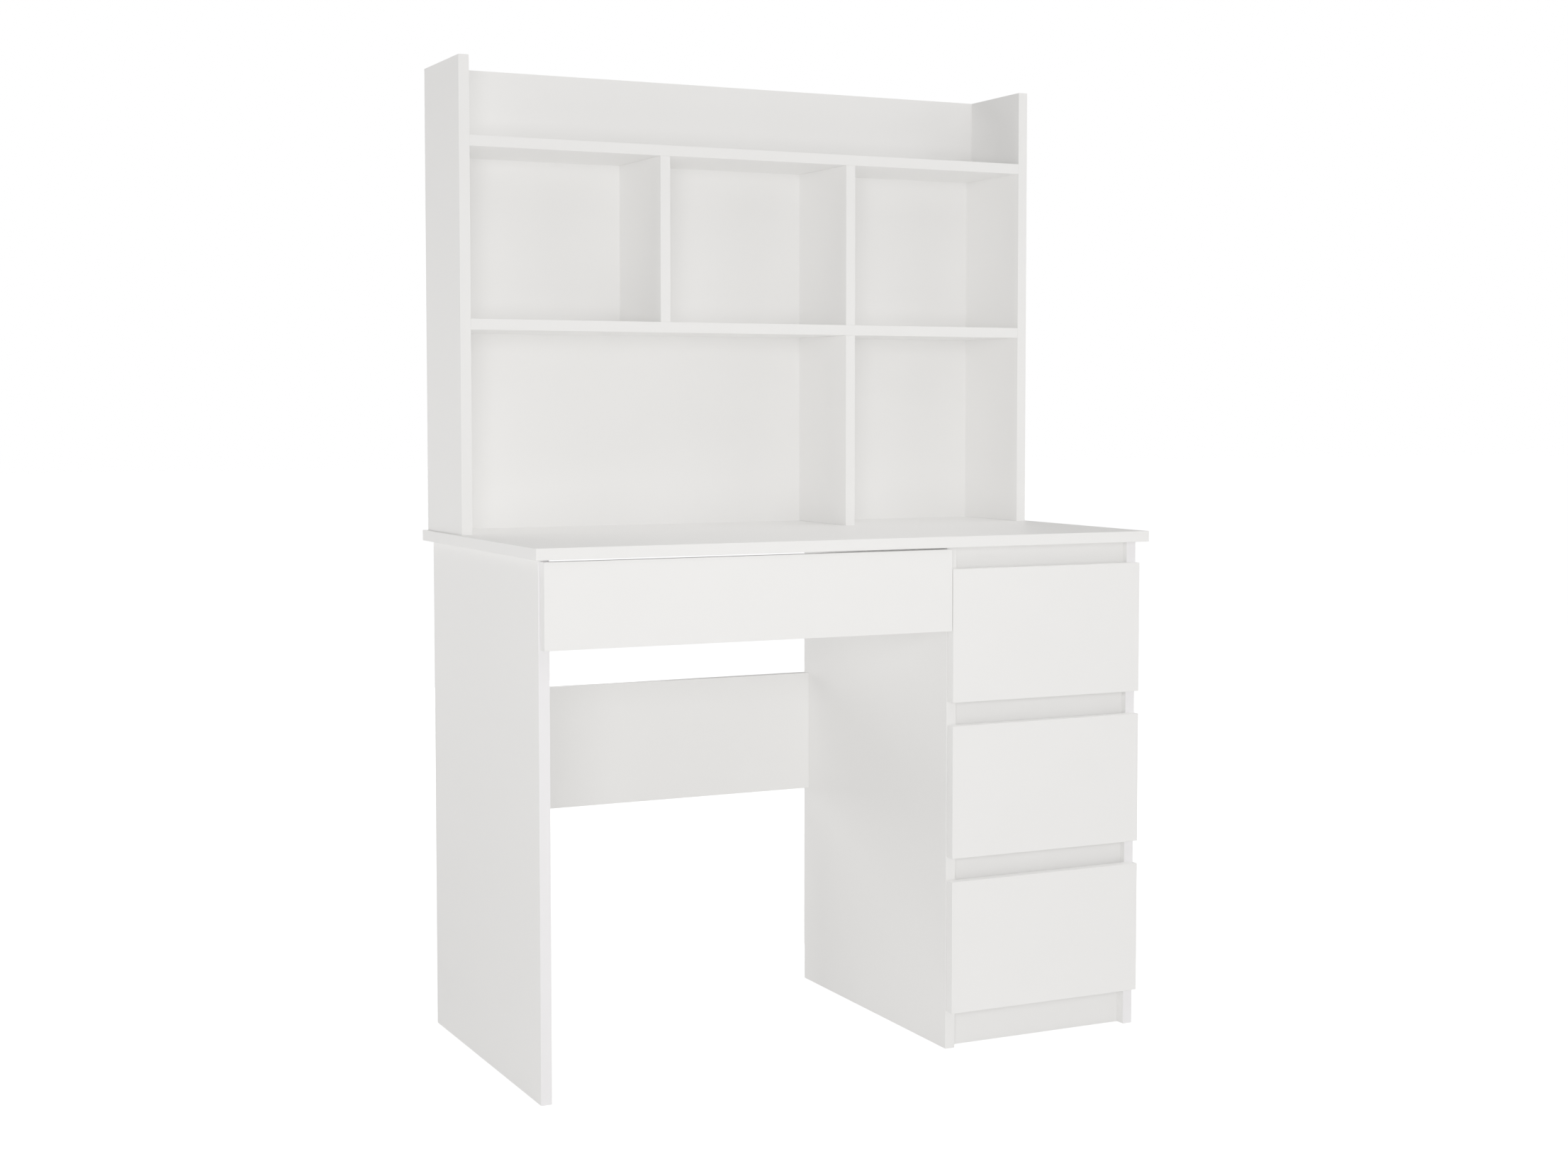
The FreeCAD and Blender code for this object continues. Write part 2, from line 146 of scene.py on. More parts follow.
# The floor sheet's glow rises from the near distance to the far one, measured from the desk's middle.
GLOW_NEAR = 0.7
GLOW_FAR = 2.6

DESK_MIDDLE = (0.0, 0.0, 0.75)

# Where each softbox hangs, the point that it faces and how wide it is.
SOFTBOXES = {
    "key": ((-1.55, -3.2, 1.0), DESK_MIDDLE, 1.2),
    "fill": ((2.8, -2.8, 1.3), DESK_MIDDLE, 2.0),
    "side": ((4.0, 0.0, 1.2), DESK_MIDDLE, 3.0),
    "left": ((-5.0, 0.2, 0.8), DESK_MIDDLE, 1.0),
    "top": ((0.0, -2.5, 3.5), DESK_MIDDLE, 2.5),
    "top_right": ((1.8, -0.8, 3.5), DESK_MIDDLE, 2.0),
    "bench": ((0.0, -0.8, 1.28), (0.0, -0.8, 0.0), 0.9),
    "rear": ((0.0, 4.0, 1.5), DESK_MIDDLE, 3.0),
    "rear_left": ((-2.8, 2.8, 0.72), DESK_MIDDLE, 1.4),
}

# Finishes that several steps share, by the function that makes them and their colour.
SHARED_FINISHES = {}

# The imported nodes, by the material slot that each one carries.
SLOT_NODES = {}
for packed_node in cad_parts.values():
    SLOT_NODES.setdefault(packed_node.data.materials[0].name, []).append(packed_node)


class DeskFinishes(bpy.types.PropertyGroup):
    """Colours and surface sizes of the desk's own materials."""

    laminate_colour: FloatVectorProperty(
        name="Laminate", description="Printed white face of the boards", subtype="COLOR",
        size=4, min=0.0, max=1.0, default=(0.945, 0.940, 0.930, 1.0))
    edging_colour: FloatVectorProperty(
        name="Edging", description="Plastic strip glued to the boards' edges", subtype="COLOR",
        size=4, min=0.0, max=1.0, default=(0.945, 0.940, 0.930, 1.0))
    upright_edging_colour: FloatVectorProperty(
        name="Upright edging", description="Cooler edging on the two outer uprights of the base",
        subtype="COLOR", size=4, min=0.0, max=1.0, default=(0.945, 0.930, 0.958, 1.0))
    fibreboard_colour: FloatVectorProperty(
        name="Fibreboard", description="Lacquered face of the thin backs and drawer bases", subtype="COLOR",
        size=4, min=0.0, max=1.0, default=(0.945, 0.940, 0.930, 1.0))
    enamel_colour: FloatVectorProperty(
        name="Runner enamel", description="Baked coating of the steel runners", subtype="COLOR",
        size=4, min=0.0, max=1.0, default=(0.850, 0.842, 0.822, 1.0))
    nylon_colour: FloatVectorProperty(
        name="Roller nylon", description="Moulded rollers", subtype="COLOR",
        size=4, min=0.0, max=1.0, default=(0.700, 0.685, 0.640, 1.0))
    cap_colour: FloatVectorProperty(
        name="Cover cap", description="Plastic caps over the shelf fittings", subtype="COLOR",
        size=4, min=0.0, max=1.0, default=(0.900, 0.890, 0.870, 1.0))
    zinc_colour: FloatVectorProperty(
        name="Zinc", description="Cast cams, plated screws and pins", subtype="COLOR",
        size=4, min=0.0, max=1.0, default=(0.400, 0.405, 0.410, 1.0))
    edge_rounding: FloatProperty(
        name="Edge rounding", description="Radius scraped on the boards' edging", unit="LENGTH",
        min=0.0001, max=0.003, default=0.0006)
    metal_rounding: FloatProperty(
        name="Metal rounding", description="Radius on the runners' and rollers' edges", unit="LENGTH",
        min=0.0001, max=0.001, default=0.0003)


class DeskFittings(bpy.types.PropertyGroup):
    """Sizes and spacing of the small fasteners."""

    cam_radius: FloatProperty(
        name="Cam radius", description="Radius of the cast cams", unit="LENGTH", default=0.0075)
    cam_height: FloatProperty(
        name="Cam height", description="How far a cam stands out of its board", unit="LENGTH",
        default=0.0008)
    cam_inset: FloatProperty(
        name="Cam inset", description="From a cam's middle to the joint it pulls tight", unit="LENGTH",
        default=0.034)
    cap_radius: FloatProperty(
        name="Cap radius", description="Radius of the cover caps", unit="LENGTH", default=0.0085)
    cap_height: FloatProperty(
        name="Cap height", description="Height of the cover caps", unit="LENGTH", default=0.0014)
    connector_radius: FloatProperty(
        name="Connector radius", description="Radius of the drawer back screws' heads", unit="LENGTH",
        default=0.0048)
    connector_height: FloatProperty(
        name="Connector height", description="Height of the drawer back screws' heads", unit="LENGTH",
        default=0.0005)
    screw_radius: FloatProperty(
        name="Screw radius", description="Radius of the runner screws' heads", unit="LENGTH",
        default=0.0035)
    screw_height: FloatProperty(
        name="Screw height", description="Height of the runner screws' heads", unit="LENGTH",
        default=0.0010)
    pin_radius: FloatProperty(
        name="Pin radius", description="Radius of the pins' heads in the thin backs", unit="LENGTH",
        default=0.0017)
    pin_spacing: FloatProperty(
        name="Pin spacing", description="Longest step between two pins", unit="LENGTH", default=0.11)


class DeskStudio(bpy.types.PropertyGroup):
    """Camera, light and floor of the product shot."""

    camera_place: FloatVectorProperty(
        name="Camera place", description="Where the camera stands", subtype="TRANSLATION", unit="LENGTH",
        size=3, default=(-1.51230, -3.11008, 0.94768))
    camera_heading: FloatProperty(
        name="Camera heading", description="Turn to the right of straight ahead", subtype="ANGLE",
        default=0.452465)
    camera_tilt: FloatProperty(
        name="Camera tilt", description="Tilt above level", subtype="ANGLE", default=-0.055991)
    lens: FloatProperty(
        name="Lens", description="Focal length on a 36 mm wide sensor", unit="CAMERA", default=52.3169)
    lens_shift: FloatProperty(
        name="Lens shift", description="Upward shift, as a share of the picture's width", default=-0.035)
    ambient: FloatProperty(
        name="Ambient", description="Strength of the light from all round", default=0.02)
    light_colour: FloatVectorProperty(
        name="Light colour", description="Colour of the softboxes", subtype="COLOR",
        size=3, min=0.0, max=1.0, default=(1.0, 0.987, 0.963))
    key_power: FloatProperty(
        name="Key softbox", description="Power of the softbox beside the camera", unit="POWER",
        default=39.0)
    fill_power: FloatProperty(
        name="Fill softbox", description="Power of the softbox to the right of the front", unit="POWER",
        default=13.0)
    side_power: FloatProperty(
        name="Side softbox", description="Power of the softbox on the right", unit="POWER", default=60.0)
    left_power: FloatProperty(
        name="Left softbox", description="Power of the softbox on the left", unit="POWER", default=35.0)
    top_power: FloatProperty(
        name="Top softbox", description="Power of the softbox above the front", unit="POWER", default=20.0)
    top_right_power: FloatProperty(
        name="Top right softbox", description="Power of the softbox above on the right", unit="POWER",
        default=19.0)
    bench_power: FloatProperty(
        name="Bench softbox", description="Power of the softbox that hangs low before the desk",
        unit="POWER", default=1.2)
    rear_power: FloatProperty(
        name="Rear softbox", description="Power of the softbox behind the desk", unit="POWER", default=50.0)
    rear_left_power: FloatProperty(
        name="Rear left softbox", description="Power of the softbox behind on the left", unit="POWER",
        default=15.0)
    tone_lift: FloatProperty(
        name="Tone lift", description="Gamma that lifts the picture's middle tones", default=2.0)
    floor_glow: FloatProperty(
        name="Floor glow", description="How far the floor sheet is lit up near the desk", default=0.72)
    floor_colour: FloatVectorProperty(
        name="Floor", description="Pale floor sheet", subtype="COLOR",
        size=4, min=0.0, max=1.0, default=(0.90, 0.90, 0.90, 1.0))


def add_node(tree, kind, inputs=None, **settings):
    """Add a shader node, fill its input sockets from values or other sockets, and return it."""
    node = tree.nodes.new(kind)
    for name, value in settings.items():
        setattr(node, name, value)
    for name, value in (inputs or {}).items():
        if isinstance(value, bpy.types.NodeSocket):
            tree.links.new(value, node.inputs[name])
        else:
            node.inputs[name].default_value = value
    return node


def blotches(tree, place, size, detail=2.0):
    """Soft noise with blotches of about the given size."""
    return add_node(tree, "ShaderNodeTexNoise",
                    {"Vector": place, "Scale": 1.0 / size, "Detail": detail}).outputs["Fac"]


def spread(tree, value, low, high):
    """Stretch the middle of a noise value over a range."""
    return add_node(tree, "ShaderNodeMapRange", {
        "Value": value, "From Min": NOISE_LOW, "From Max": NOISE_HIGH,
        "To Min": low, "To Max": high}).outputs["Result"]


def shaded(tree, value, colour, darkest):
    """The colour, darkened where a noise value is low."""
    ramp = add_node(tree, "ShaderNodeValToRGB", {"Fac": value})
    dark, light = ramp.color_ramp.elements
    dark.position = NOISE_LOW
    light.position = NOISE_HIGH
    dark.color = [channel * darkest for channel in colour[:3]] + [1.0]
    light.color = colour
    return ramp.outputs["Color"]


def new_finish(name, colour, darkest, mottle, roughness, swing, metallic=0.0):
    """A material whose colour and roughness drift a little over the surface.

    The colour drifts in blotches of the size mottle and the roughness in smaller ones. Returns the
    material, its node tree, its shader and the place on the object in metres.
    """
    finish = bpy.data.materials.new(name)
    finish.use_nodes = True
    tree = finish.node_tree
    shader = tree.nodes["Principled BSDF"]
    shader.inputs["Metallic"].default_value = metallic
    place = add_node(tree, "ShaderNodeTexCoord").outputs["Object"]
    drift = blotches(tree, place, mottle)
    tree.links.new(shaded(tree, drift, colour, darkest), shader.inputs["Base Color"])
    polish = blotches(tree, place, POLISH_SHARE * mottle)
    tree.links.new(spread(tree, polish, roughness - swing, roughness + swing), shader.inputs["Roughness"])
    return finish, tree, shader, place


def emboss(tree, shader, height, depth):
    """Raise the surface by a height from 0 to 1, at most depth metres."""
    bump = add_node(tree, "ShaderNodeBump", {"Height": height, "Distance": depth})
    tree.links.new(bump.outputs["Normal"], shader.inputs["Normal"])


def laminate_finish(colour):
    """White decor paper under resin, pressed with a fine pearl grain."""
    finish, tree, shader, place = new_finish(
        "laminate_face", colour, darkest=0.988, mottle=0.09, roughness=0.46, swing=0.04)
    emboss(tree, shader, blotches(tree, place, size=0.0011, detail=1.0), depth=0.00004)
    return finish


def edging_finish(name, colour):
    """Extruded plastic edging, smoother than the laminate."""
    finish, tree, shader, place = new_finish(
        name, colour, darkest=0.99, mottle=0.05, roughness=0.38, swing=0.03)
    emboss(tree, shader, blotches(tree, place, size=0.004, detail=1.0), depth=0.00003)
    return finish


def lacquer_finish(colour):
    """Roller-coated lacquer on fibreboard, with faint wavy lines."""
    finish, tree, shader, place = new_finish(
        "fibreboard_lacquer", colour, darkest=0.985, mottle=0.12, roughness=0.5, swing=0.04)
    lines = add_node(tree, "ShaderNodeTexWave", {
        "Vector": place, "Scale": 60.0, "Distortion": 1.5, "Detail": 2.0}, bands_direction="Z")
    emboss(tree, shader, lines.outputs["Fac"], depth=0.00002)
    return finish


def screen_finish(colour):
    """The rough side of fibreboard, with the pattern of the wire screen that the wet board dries on."""
    finish, tree, shader, place = new_finish(
        "fibreboard_screen", colour, darkest=0.965, mottle=0.006, roughness=0.62, swing=0.05)
    bands = [add_node(tree, "ShaderNodeTexWave", {"Vector": place, "Scale": 190.0, "Distortion": 0.6},
                      bands_direction=axis).outputs["Fac"] for axis in ("X", "Z")]
    weave = add_node(tree, "ShaderNodeMath", {0: bands[0], 1: bands[1]}, operation="MULTIPLY")
    emboss(tree, shader, weave.outputs["Value"], depth=0.00012)
    return finish


def enamel_finish(colour):
    """Baked powder coating with orange peel."""
    finish, tree, shader, place = new_finish(
        "runner_enamel", colour, darkest=0.97, mottle=0.03, roughness=0.4, swing=0.05)
    emboss(tree, shader, blotches(tree, place, size=0.0024, detail=1.0), depth=0.00008)
    return finish


def nylon_finish(colour):
    """Milky nylon from an eroded mould."""
    finish, tree, shader, place = new_finish(
        "nylon_moulding", colour, darkest=0.95, mottle=0.008, roughness=0.5, swing=0.06)
    emboss(tree, shader, blotches(tree, place, size=0.0005, detail=1.0), depth=0.00003)
    return finish


def cap_finish(colour):
    """Soft white plastic with a fine mould grain."""
    finish, tree, shader, place = new_finish(
        "cap_plastic", colour, darkest=0.98, mottle=0.01, roughness=0.44, swing=0.04)
    emboss(tree, shader, blotches(tree, place, size=0.0006, detail=1.0), depth=0.00003)
    return finish


def zinc_finish(colour):
    """Dull zinc with the cloudy crystals of casting and plating."""
    finish, tree, shader, place = new_finish(
        "zinc", colour, darkest=0.8, mottle=0.004, roughness=0.42, swing=0.1, metallic=1.0)
    emboss(tree, shader, blotches(tree, place, size=0.0012, detail=2.0), depth=0.00005)
    return finish


def made_once(build, colour):
    """The finish that a function makes in a colour, made on its first use."""
    key = (build, *colour)
    if key not in SHARED_FINISHES:
        SHARED_FINISHES[key] = build(colour)
    return SHARED_FINISHES[key]


def soften_edges(node, radius):
    """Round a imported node's sharp edges without touching its mesh."""
    weld = node.modifiers.new("joined_corners", "WELD")
    weld.merge_threshold = SAME_CORNER
    bevel = node.modifiers.new("rounded_edges", "BEVEL")
    bevel.width = radius
    bevel.segments = ROUNDED_STEPS
    bevel.limit_method = "ANGLE"
    bevel.angle_limit = ROUNDED_ANGLE
    bevel.harden_normals = True


def finish_whole(node, finish):
    """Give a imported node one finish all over."""
    node.data.materials.clear()
    node.data.materials.append(finish)


def finish_board(node, face, edge):
    """Give the two broad faces of a board one finish and its four edges another."""
    low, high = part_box(node.name)
    extents = high - low
    thin = min(range(3), key=lambda axis: extents[axis])
    node.data.materials.clear()
    node.data.materials.append(face)
    node.data.materials.append(edge)
    for polygon in node.data.polygons:
        polygon.material_index = 0 if abs(polygon.normal[thin]) > FACING else 1


def finish_two_sided(panel, colour, outer):
    """Lacquer a thin panel, and leave the screen's pattern on the side that faces outer."""
    panel.data.materials.clear()
    for finish in (lacquer_finish, screen_finish):
        panel.data.materials.append(made_once(finish, colour))
    for polygon in panel.data.polygons:
        polygon.material_index = 1 if polygon.normal.dot(outer) > FACING else 0


def new_piece(name, shape, finish, body):
    """Turn a bmesh into a smooth-shaded piece that rides on a CAD body."""
    mesh = bpy.data.meshes.new(name)
    bmesh.ops.recalc_face_normals(shape, faces=shape.faces[:])
    shape.to_mesh(mesh)
    shape.free()
    mesh.shade_smooth()
    mesh.set_sharp_from_angle(angle=CRISP_ANGLE)
    mesh.materials.append(finish)
    piece = bpy.data.objects.new(name, mesh)
    bpy.context.collection.objects.link(piece)
    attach(piece, body)


def scaled(outline, radius, height):
    """An outline's shares as radius and height pairs in metres."""
    return [(share * radius, rise * height) for share, rise in outline]


def turned(profile, sides):
    """A bmesh turned about Z from radius and height pairs, and its last ring."""
    shape = bmesh.new()
    rings = []
    for radius, height in profile:
        angles = [math.tau * turn / sides for turn in (range(sides) if radius else range(1))]
        rings.append([shape.verts.new((radius * math.cos(angle), radius * math.sin(angle), height))
                      for angle in angles])
    for lower, upper in zip(rings, rings[1:]):
        for turn in range(sides):
            after = (turn + 1) % sides
            corners = [lower[turn % len(lower)], lower[after % len(lower)],
                       upper[after % len(upper)], upper[turn % len(upper)]]
            shape.faces.new(list(dict.fromkeys(corners)))
    return shape, rings[-1]


def close_with_cross(shape, ring, arm, width, depth):
    """Close the top ring of a head round a cross-shaped recess."""
    half = width / 2
    outline = []
    for quarter in range(4):
        turn = Matrix.Rotation(quarter * math.pi / 2, 3, "Z")
        outline += [turn @ Vector(corner) for corner in ((arm, -half, 0), (arm, half, 0), (half, half, 0))]
    height = Vector((0, 0, ring[0].co.z))
    rim = [shape.verts.new(height + corner) for corner in outline]
    floor = [shape.verts.new(height + CROSS_TAPER * corner - Vector((0, 0, depth))) for corner in outline]

    def loop_edges(loop):
        pairs = zip(loop, loop[1:] + loop[:1])
        return [shape.edges.get(pair) or shape.edges.new(pair) for pair in pairs]

    bmesh.ops.triangle_fill(shape, use_beauty=True, edges=loop_edges(ring) + loop_edges(rim))
    for index, corner in enumerate(rim):
        after = (index + 1) % len(rim)
        shape.faces.new((corner, rim[after], floor[after], floor[index]))
    bmesh.ops.triangle_fill(shape, use_beauty=True, edges=loop_edges(floor))


def driven_head(radius, height, sides):
    """A low round head with a cross recess, seated a little below the surface it is driven into."""
    profile = [(0, -SEAT_DEPTH), (radius, -SEAT_DEPTH), *scaled(HEAD_OUTLINE, radius, height)]
    shape, ring = turned(profile, sides)
    close_with_cross(shape, ring, CROSS_ARM * radius, CROSS_WIDTH * radius, CROSS_DEPTH * height)
    return shape


def domed_cap(radius, height):
    """A press-on cover cap with a thin rim and a low dome."""
    profile = [(0, -SEAT_DEPTH), (radius, -SEAT_DEPTH), *scaled(CAP_OUTLINE, radius, height)]
    return turned(profile, CAP_SIDES)[0]


def repeated(pattern, spots):
    """Copies of one shape standing on points, each facing its outward direction and turned differently."""
    mesh = bpy.data.meshes.new("pattern")
    pattern.to_mesh(mesh)
    pattern.free()
    whole = bmesh.new()
    for index, (point, outward) in enumerate(spots):
        done = len(whole.verts)
        whole.from_mesh(mesh)
        whole.verts.ensure_lookup_table()
        stand = outward.to_track_quat("Z", "Y").to_matrix().to_4x4()
        spin = Matrix.Rotation(index * FASTENER_TURN, 4, "Z")
        place = Matrix.Translation(point) @ stand @ spin
        bmesh.ops.transform(whole, matrix=place, verts=whole.verts[done:])
    bpy.data.meshes.remove(mesh)
    return whole


def spots_on(board, outward, first, second):
    """Points on one face of a board, with that face's direction.

    The two lists hold distances along the face's axes, in the order X, Y, Z. A negative distance
    counts back from the far end.
    """
    low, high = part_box(board)
    through = max(range(3), key=lambda axis: abs(outward[axis]))
    along = [axis for axis in range(3) if axis != through]
    spots = []
    for pair in ((a, b) for a in first for b in second):
        point = Vector()
        point[through] = high[through] if outward[through] > 0 else low[through]
        for axis, distance in zip(along, pair):
            point[axis] = (high if distance < 0 else low)[axis] + distance
        spots.append((point, outward))
    return spots


def even_steps(start, end, longest):
    """Places from start to end, both included, no further apart than longest."""
    count = max(1, math.ceil((end - start) / longest))
    return [start + (end - start) * step / count for step in range(count + 1)]


def pin_line(back, board, spacing):
    """Places of the pins through a thin back, along the middle of a board that it is pinned to."""
    back_low, back_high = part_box(back)
    board_low, board_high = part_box(board)
    low = Vector(map(max, back_low, board_low))
    high = Vector(map(min, back_high, board_high))
    middle = (board_low + board_high) / 2
    upright = high.x - low.x < high.z - low.z
    along = 2 if upright else 0
    spots = []
    for place in even_steps(low[along] + PIN_INSET, high[along] - PIN_INSET, spacing):
        point = Vector((middle.x, back_high.y, middle.z))
        point[along] = place
        spots.append((point, BACK))
    return spots


def pitted_copy(node, name, pits):
    """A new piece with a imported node's shape, and the pits cut out of it."""
    cutter_mesh = bpy.data.meshes.new("pits")
    bmesh.ops.recalc_face_normals(pits, faces=pits.faces[:])
    pits.to_mesh(cutter_mesh)
    pits.free()
    cutter = bpy.data.objects.new("pits", cutter_mesh)
    shape = bmesh.new()
    shape.from_mesh(node.data)
    bmesh.ops.remove_doubles(shape, verts=shape.verts[:], dist=SAME_CORNER)
    bmesh.ops.dissolve_limit(shape, angle_limit=FLAT_ANGLE, verts=shape.verts[:], edges=shape.edges[:])
    plain_mesh = bpy.data.meshes.new("plain")
    shape.to_mesh(plain_mesh)
    shape.free()
    piece = bpy.data.objects.new(name, plain_mesh)
    for part in (cutter, piece):
        bpy.context.collection.objects.link(part)
    cut = piece.modifiers.new("pits", "BOOLEAN")
    cut.object = cutter
    cut.operation = "DIFFERENCE"
    cut.solver = "EXACT"
    evaluated = piece.evaluated_get(bpy.context.evaluated_depsgraph_get())
    pitted = bpy.data.meshes.new_from_object(evaluated)
    pitted.name = name
    piece.modifiers.clear()
    piece.data = pitted
    # The cutter goes with its mesh.
    for spare in (cutter_mesh, plain_mesh):
        bpy.data.meshes.remove(spare)
    return piece


class DESK_OT_laminated_boards(bpy.types.Operator):
    """Finish every laminated board: grained faces, plastic edging and scraped edges"""

    bl_idname = "desk.laminated_boards"
    bl_label = "Laminated Boards"

    def execute(self, context):
        settings = context.scene.desk_finishes
        face = laminate_finish(settings.laminate_colour)
        edge = edging_finish("edge_band", settings.edging_colour)
        cool_edge = edging_finish("cool_edge_band", settings.upright_edging_colour)
        for node in SLOT_NODES["white_laminate"]:
            finish_board(node, face, cool_edge if node.name in COOL_EDGED else edge)
            soften_edges(node, settings.edge_rounding)
        return {"FINISHED"}


class DESK_OT_drawer_bases(bpy.types.Operator):
    """Finish the drawer bases: lacquer inside, the screen's pattern underneath"""

    bl_idname = "desk.drawer_bases"
    bl_label = "Drawer Bases"

    def execute(self, context):
        for drawer in DRAWERS:
            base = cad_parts[f"{drawer}_drawer_base"]
            finish_two_sided(base, context.scene.desk_finishes.fibreboard_colour, DOWN)
        return {"FINISHED"}


class DESK_OT_thin_backs(bpy.types.Operator):
    """Build the thin backs again with a shallow pit for each pin that holds them, and the pins"""

    bl_idname = "desk.thin_backs"
    bl_label = "Thin Backs"

    def execute(self, context):
        sizes = context.scene.desk_fittings
        colours = context.scene.desk_finishes
        pins = []
        for back, boards in PINNED_BOARDS.items():
            spots = [spot for board in boards for spot in pin_line(back, board, sizes.pin_spacing)]
            pit = turned(scaled(PIT_OUTLINE, sizes.pin_radius, PIT_DEPTH), PIN_SIDES)[0]
            panel = pitted_copy(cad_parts[back], f"{back}_panel", repeated(pit, spots))
            finish_two_sided(panel, colours.fibreboard_colour, BACK)
            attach(panel, "carcass")
            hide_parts(back)
            pins += spots
        head = turned(scaled(PIN_OUTLINE, sizes.pin_radius, PIT_DEPTH), PIN_SIDES)[0]
        new_piece("back_pins", repeated(head, pins), made_once(zinc_finish, colours.zinc_colour), "carcass")
        return {"FINISHED"}


class DESK_OT_runners(bpy.types.Operator):
    """Finish the pressed steel runners and their nylon rollers"""

    bl_idname = "desk.runners"
    bl_label = "Runners"

    def execute(self, context):
        settings = context.scene.desk_finishes
        for slot, finish in (("runner_steel", enamel_finish(settings.enamel_colour)),
                             ("roller_nylon", nylon_finish(settings.nylon_colour))):
            for node in SLOT_NODES[slot]:
                finish_whole(node, finish)
                soften_edges(node, settings.metal_rounding)
        return {"FINISHED"}


class DESK_OT_cam_fittings(bpy.types.Operator):
    """Build the cast cams that pull the boards together on their hidden faces"""

    bl_idname = "desk.cam_fittings"
    bl_label = "Cam Fittings"

    def execute(self, context):
        sizes = context.scene.desk_fittings
        finish = made_once(zinc_finish, context.scene.desk_finishes.zinc_colour)
        inset = sizes.cam_inset
        ends = (inset, -inset)
        spots = (spots_on("left_leg_panel", RIGHT, CAM_ROWS, (-inset,))
                 + spots_on("centre_panel", RIGHT, CAM_ROWS, (-inset,))
                 + spots_on("right_side_panel", LEFT, CAM_ROWS, (-inset,))
                 + spots_on("modesty_panel", BACK, ends, MODESTY_CAM_HEIGHTS)
                 + spots_on("plinth", BACK, ends, (RAIL_CAM_HEIGHT,))
                 + spots_on("pedestal_bottom", DOWN, ends, CAM_ROWS)
                 + spots_on("hutch_gallery_board", BACK, ends, (GALLERY_CAM_HEIGHT,)))
        for rail in ("top", "upper", "lower"):
            spots += spots_on(f"pedestal_{rail}_rail", BACK, ends, (RAIL_CAM_HEIGHT,))
        cam = driven_head(sizes.cam_radius, sizes.cam_height, CAM_SIDES)
        new_piece("carcass_cams", repeated(cam, spots), finish, "carcass")
        for drawer in DRAWERS:
            heights = DRAWER_CAM_HEIGHTS[drawer]
            spots = (spots_on(f"{drawer}_drawer_left_side", RIGHT, (inset,), heights)
                     + spots_on(f"{drawer}_drawer_right_side", LEFT, (inset,), heights))
            cam = driven_head(sizes.cam_radius, sizes.cam_height, CAM_SIDES)
            new_piece(f"{drawer}_drawer_cams", repeated(cam, spots), finish, f"{drawer}_drawer")
        return {"FINISHED"}


class DESK_OT_cover_caps(bpy.types.Operator):
    """Build the white caps over the fittings on the two hutch shelves"""

    bl_idname = "desk.cover_caps"
    bl_label = "Cover Caps"

    def execute(self, context):
        sizes = context.scene.desk_fittings
        ends = (sizes.cam_inset, -sizes.cam_inset)
        spots = []
        for shelf in ("hutch_middle_shelf", "hutch_top_shelf"):
            spots += spots_on(shelf, UP, ends, CAP_ROWS)
        cap = domed_cap(sizes.cap_radius, sizes.cap_height)
        finish = cap_finish(context.scene.desk_finishes.cap_colour)
        new_piece("shelf_cover_caps", repeated(cap, spots), finish, "carcass")
        return {"FINISHED"}


class DESK_OT_screws(bpy.types.Operator):
    """Build the screws that hold the runners, and those through the drawer sides into their backs"""

    bl_idname = "desk.screws"
    bl_label = "Screws"

    def execute(self, context):
        sizes = context.scene.desk_fittings
        finish = made_once(zinc_finish, context.scene.desk_finishes.zinc_colour)
        for drawer in DRAWERS:
            body = f"{drawer}_drawer"
            screw = driven_head(sizes.screw_radius, sizes.screw_height, SCREW_SIDES)
            walls = repeated(screw, self.wall_spots(drawer))
            new_piece(f"{drawer}_cabinet_runner_screws", walls, finish, "carcass")
            connector = driven_head(sizes.connector_radius, sizes.connector_height, CONNECTOR_SIDES)
            corners = repeated(connector, self.back_spots(drawer))
            new_piece(f"{drawer}_drawer_back_screws", corners, finish, body)
            screw = driven_head(sizes.screw_radius, sizes.screw_height, SCREW_SIDES)
            under = repeated(screw, self.runner_spots(drawer))
            new_piece(f"{drawer}_drawer_runner_screws", under, finish, body)
        return {"FINISHED"}

    def wall_spots(self, drawer):
        """Places of the screws through the cabinet's runners into its walls."""
        low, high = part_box(f"{drawer}_cabinet_runners")
        height = (low.z + high.z) / 2
        depths = (low.y + WALL_SCREW_FROM_FRONT, (low.y + high.y) / 2, high.y - WALL_SCREW_FROM_BACK)
        return ([(Vector((low.x + RUNNER_SHEET, depth, height)), RIGHT) for depth in depths]
                + [(Vector((high.x - RUNNER_SHEET, depth, height)), LEFT) for depth in depths])

    def back_spots(self, drawer):
        """Places of the screws through a drawer's sides into the ends of its back."""
        low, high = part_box(f"{drawer}_drawer_back")
        half_board = (high.y - low.y) / 2
        spots = []
        for side, outward in (("left", LEFT), ("right", RIGHT)):
            panel = f"{drawer}_drawer_{side}_side"
            spots += spots_on(panel, outward, (-half_board,), BACK_SCREW_HEIGHTS[drawer])
        return spots

    def runner_spots(self, drawer):
        """Places of the screws up through a drawer's runners into its sides."""
        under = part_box(f"{drawer}_drawer_runners")[0].z
        spots = []
        for side in ("left", "right"):
            panel = f"{drawer}_drawer_{side}_side"
            low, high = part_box(panel)
            half_board = (high.x - low.x) / 2
            for point, outward in spots_on(panel, DOWN, (half_board,), RUNNER_SCREW_DEPTHS):
                spots.append((Vector((point.x, point.y, under)), outward))
        return spots


